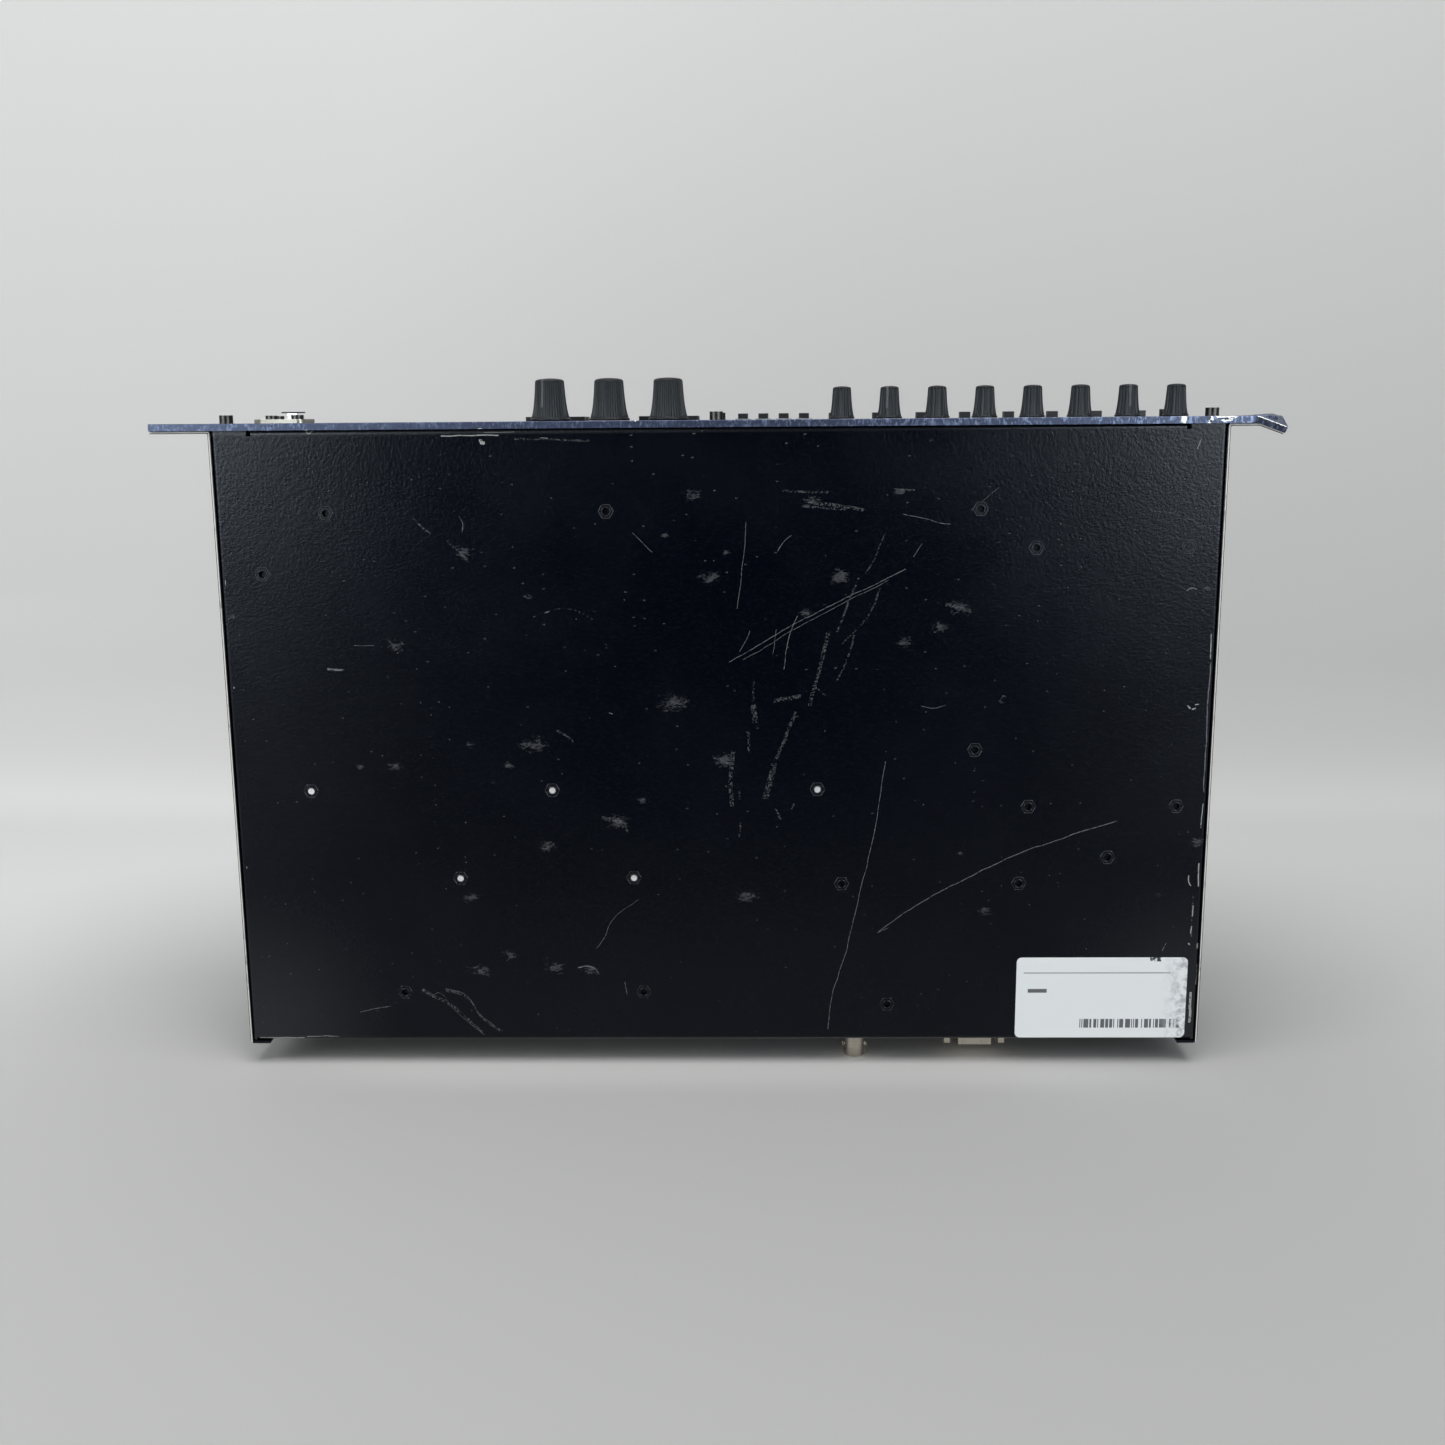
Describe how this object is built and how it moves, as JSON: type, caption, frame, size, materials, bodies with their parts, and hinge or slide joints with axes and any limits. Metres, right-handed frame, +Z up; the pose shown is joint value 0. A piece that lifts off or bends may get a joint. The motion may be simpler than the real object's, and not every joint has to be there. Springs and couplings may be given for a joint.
{
  "type": "rack effects unit",
  "caption": "Two-unit rack audio processor: folded black chassis, blue metal panel with fluted knobs, keys, meters and display, audio and data sockets.",
  "frame": {"origin": "centre of the four rack slots, on the rear face of the rack ears where the unit meets the rack rails", "axes": "+X to the right seen from the front, +Y to the rear, +Z up"},
  "size_m": [0.4826, 0.308, 0.0882],
  "materials": {
    "panel_finish": "metallic blue paint with fine flecks",
    "chassis_paint": "fine textured satin black",
    "black_screw": "black oxide",
    "zinc_steel": "bright zinc",
    "circuit_board": "green solder resist",
    "dark_plastic": "moulded black",
    "knob_plastic": "moulded charcoal",
    "key_plastic": "moulded dark grey",
    "display_glass": "smoked acrylic",
    "nickel_shell": "satin nickel",
    "bright_metal": "bright nickel",
    "contact_metal": "plated contacts"
  },
  "bodies": {
    "chassis": {"front_panel": "panel_finish", "bottom_pan": "chassis_paint", "top_cover": "chassis_paint", "left_side_bracket": "chassis_paint", "right_side_bracket": "chassis_paint", "panel_cap_screws": "black_screw", "chassis_screws": "black_screw", "board_standoffs": "zinc_steel", "board_screws": "zinc_steel", "main_board": "circuit_board", "power_supply": "circuit_board", "input_board": "circuit_board", "control_board": "circuit_board", "panel_lenses": "display_glass", "display_module": "dark_plastic", "encoder_bodies": "zinc_steel", "level_pot_bodies": "zinc_steel", "key_switches": "dark_plastic", "data_port": "nickel_shell", "connector_screws": "black_screw", "input_sockets": "dark_plastic", "input_inserts": "dark_plastic", "output_sockets": "dark_plastic", "output_contact_pins": "contact_metal", "mains_inlet": "dark_plastic", "clock_jack": "nickel_shell", "serial_port": "nickel_shell"},
    "encoder_knob_1": {"encoder_knob_1": "knob_plastic"},
    "encoder_knob_2": {"encoder_knob_2": "knob_plastic"},
    "encoder_knob_3": {"encoder_knob_3": "knob_plastic"},
    "level_knob_1": {"level_knob_1": "knob_plastic"},
    "level_knob_2": {"level_knob_2": "knob_plastic"},
    "level_knob_3": {"level_knob_3": "knob_plastic"},
    "level_knob_4": {"level_knob_4": "knob_plastic"},
    "level_knob_5": {"level_knob_5": "knob_plastic"},
    "level_knob_6": {"level_knob_6": "knob_plastic"},
    "level_knob_7": {"level_knob_7": "knob_plastic"},
    "level_knob_8": {"level_knob_8": "knob_plastic"},
    "menu_key_1": {"menu_key_1": "key_plastic"},
    "menu_key_2": {"menu_key_2": "key_plastic"},
    "menu_key_3": {"menu_key_3": "key_plastic"},
    "menu_key_4": {"menu_key_4": "key_plastic"},
    "input_button_1": {"input_button_1": "key_plastic"},
    "input_button_2": {"input_button_2": "key_plastic"},
    "input_button_3": {"input_button_3": "key_plastic"},
    "input_button_4": {"input_button_4": "key_plastic"},
    "mute_button_1": {"mute_button_1": "key_plastic"},
    "mute_button_2": {"mute_button_2": "key_plastic"},
    "mute_button_3": {"mute_button_3": "key_plastic"},
    "mute_button_4": {"mute_button_4": "key_plastic"},
    "mute_button_5": {"mute_button_5": "key_plastic"},
    "mute_button_6": {"mute_button_6": "key_plastic"},
    "mute_button_7": {"mute_button_7": "key_plastic"},
    "mute_button_8": {"mute_button_8": "key_plastic"},
    "data_latch": {"data_latch": "bright_metal"},
    "input_latch_1": {"input_latch_1": "bright_metal"},
    "input_latch_2": {"input_latch_2": "bright_metal"},
    "input_latch_3": {"input_latch_3": "bright_metal"},
    "input_latch_4": {"input_latch_4": "bright_metal"},
    "power_rocker": {"power_rocker": "key_plastic"}
  },
  "joints": [
    {"name": "encoder_1_turn", "type": "hinge", "parent": "chassis", "child": "encoder_knob_1", "pos_m": [-0.0714, -0.0042, -0.03155], "axis": [0, 1, 0], "continuous": true},
    {"name": "encoder_2_turn", "type": "hinge", "parent": "chassis", "child": "encoder_knob_2", "pos_m": [-0.046, -0.0042, -0.03155], "axis": [0, 1, 0], "continuous": true},
    {"name": "encoder_3_turn", "type": "hinge", "parent": "chassis", "child": "encoder_knob_3", "pos_m": [-0.0206, -0.0042, -0.03155], "axis": [0, 1, 0], "continuous": true},
    {"name": "level_1_turn", "type": "hinge", "parent": "chassis", "child": "level_knob_1", "pos_m": [0.0537, -0.0042, -0.03155], "axis": [0, 1, 0], "range_deg": [-150, 150]},
    {"name": "level_2_turn", "type": "hinge", "parent": "chassis", "child": "level_knob_2", "pos_m": [0.07402, -0.0042, -0.03155], "axis": [0, 1, 0], "range_deg": [-150, 150]},
    {"name": "level_3_turn", "type": "hinge", "parent": "chassis", "child": "level_knob_3", "pos_m": [0.09434, -0.0042, -0.03155], "axis": [0, 1, 0], "range_deg": [-150, 150]},
    {"name": "level_4_turn", "type": "hinge", "parent": "chassis", "child": "level_knob_4", "pos_m": [0.11466, -0.0042, -0.03155], "axis": [0, 1, 0], "range_deg": [-150, 150]},
    {"name": "level_5_turn", "type": "hinge", "parent": "chassis", "child": "level_knob_5", "pos_m": [0.13498, -0.0042, -0.03155], "axis": [0, 1, 0], "range_deg": [-150, 150]},
    {"name": "level_6_turn", "type": "hinge", "parent": "chassis", "child": "level_knob_6", "pos_m": [0.1553, -0.0042, -0.03155], "axis": [0, 1, 0], "range_deg": [-150, 150]},
    {"name": "level_7_turn", "type": "hinge", "parent": "chassis", "child": "level_knob_7", "pos_m": [0.17562, -0.0042, -0.03155], "axis": [0, 1, 0], "range_deg": [-150, 150]},
    {"name": "level_8_turn", "type": "hinge", "parent": "chassis", "child": "level_knob_8", "pos_m": [0.19594, -0.0042, -0.03155], "axis": [0, 1, 0], "range_deg": [-150, 150]},
    {"name": "menu_1_press", "type": "slide", "parent": "chassis", "child": "menu_key_1", "axis": [0, 1, 0], "range_m": [0, 0.0008], "stiffness_N_per_m": 300, "springref_m": -0.001},
    {"name": "menu_2_press", "type": "slide", "parent": "chassis", "child": "menu_key_2", "axis": [0, 1, 0], "range_m": [0, 0.0008], "stiffness_N_per_m": 300, "springref_m": -0.001},
    {"name": "menu_3_press", "type": "slide", "parent": "chassis", "child": "menu_key_3", "axis": [0, 1, 0], "range_m": [0, 0.0008], "stiffness_N_per_m": 300, "springref_m": -0.001},
    {"name": "menu_4_press", "type": "slide", "parent": "chassis", "child": "menu_key_4", "axis": [0, 1, 0], "range_m": [0, 0.0008], "stiffness_N_per_m": 300, "springref_m": -0.001},
    {"name": "input_1_press", "type": "slide", "parent": "chassis", "child": "input_button_1", "axis": [0, 1, 0], "range_m": [0, 0.0008], "stiffness_N_per_m": 300, "springref_m": -0.001},
    {"name": "input_2_press", "type": "slide", "parent": "chassis", "child": "input_button_2", "axis": [0, 1, 0], "range_m": [0, 0.0008], "stiffness_N_per_m": 300, "springref_m": -0.001},
    {"name": "input_3_press", "type": "slide", "parent": "chassis", "child": "input_button_3", "axis": [0, 1, 0], "range_m": [0, 0.0008], "stiffness_N_per_m": 300, "springref_m": -0.001},
    {"name": "input_4_press", "type": "slide", "parent": "chassis", "child": "input_button_4", "axis": [0, 1, 0], "range_m": [0, 0.0008], "stiffness_N_per_m": 300, "springref_m": -0.001},
    {"name": "mute_1_press", "type": "slide", "parent": "chassis", "child": "mute_button_1", "axis": [0, 1, 0], "range_m": [0, 0.0008], "stiffness_N_per_m": 300, "springref_m": -0.001},
    {"name": "mute_2_press", "type": "slide", "parent": "chassis", "child": "mute_button_2", "axis": [0, 1, 0], "range_m": [0, 0.0008], "stiffness_N_per_m": 300, "springref_m": -0.001},
    {"name": "mute_3_press", "type": "slide", "parent": "chassis", "child": "mute_button_3", "axis": [0, 1, 0], "range_m": [0, 0.0008], "stiffness_N_per_m": 300, "springref_m": -0.001},
    {"name": "mute_4_press", "type": "slide", "parent": "chassis", "child": "mute_button_4", "axis": [0, 1, 0], "range_m": [0, 0.0008], "stiffness_N_per_m": 300, "springref_m": -0.001},
    {"name": "mute_5_press", "type": "slide", "parent": "chassis", "child": "mute_button_5", "axis": [0, 1, 0], "range_m": [0, 0.0008], "stiffness_N_per_m": 300, "springref_m": -0.001},
    {"name": "mute_6_press", "type": "slide", "parent": "chassis", "child": "mute_button_6", "axis": [0, 1, 0], "range_m": [0, 0.0008], "stiffness_N_per_m": 300, "springref_m": -0.001},
    {"name": "mute_7_press", "type": "slide", "parent": "chassis", "child": "mute_button_7", "axis": [0, 1, 0], "range_m": [0, 0.0008], "stiffness_N_per_m": 300, "springref_m": -0.001},
    {"name": "mute_8_press", "type": "slide", "parent": "chassis", "child": "mute_button_8", "axis": [0, 1, 0], "range_m": [0, 0.0008], "stiffness_N_per_m": 300, "springref_m": -0.001},
    {"name": "data_latch_press", "type": "slide", "parent": "chassis", "child": "data_latch", "axis": [0, 1, 0], "range_m": [0, 0.0015], "stiffness_N_per_m": 400, "springref_m": -0.001},
    {"name": "input_latch_1_press", "type": "slide", "parent": "chassis", "child": "input_latch_1", "axis": [0, -1, 0], "range_m": [0, 0.0018], "stiffness_N_per_m": 400, "springref_m": -0.001},
    {"name": "input_latch_2_press", "type": "slide", "parent": "chassis", "child": "input_latch_2", "axis": [0, -1, 0], "range_m": [0, 0.0018], "stiffness_N_per_m": 400, "springref_m": -0.001},
    {"name": "input_latch_3_press", "type": "slide", "parent": "chassis", "child": "input_latch_3", "axis": [0, -1, 0], "range_m": [0, 0.0018], "stiffness_N_per_m": 400, "springref_m": -0.001},
    {"name": "input_latch_4_press", "type": "slide", "parent": "chassis", "child": "input_latch_4", "axis": [0, -1, 0], "range_m": [0, 0.0018], "stiffness_N_per_m": 400, "springref_m": -0.001},
    {"name": "power_rock", "type": "hinge", "parent": "chassis", "child": "power_rocker", "pos_m": [0.175, 0.2732, 0.0135], "axis": [1, 0, 0], "range_deg": [0, 20]}
  ]
}
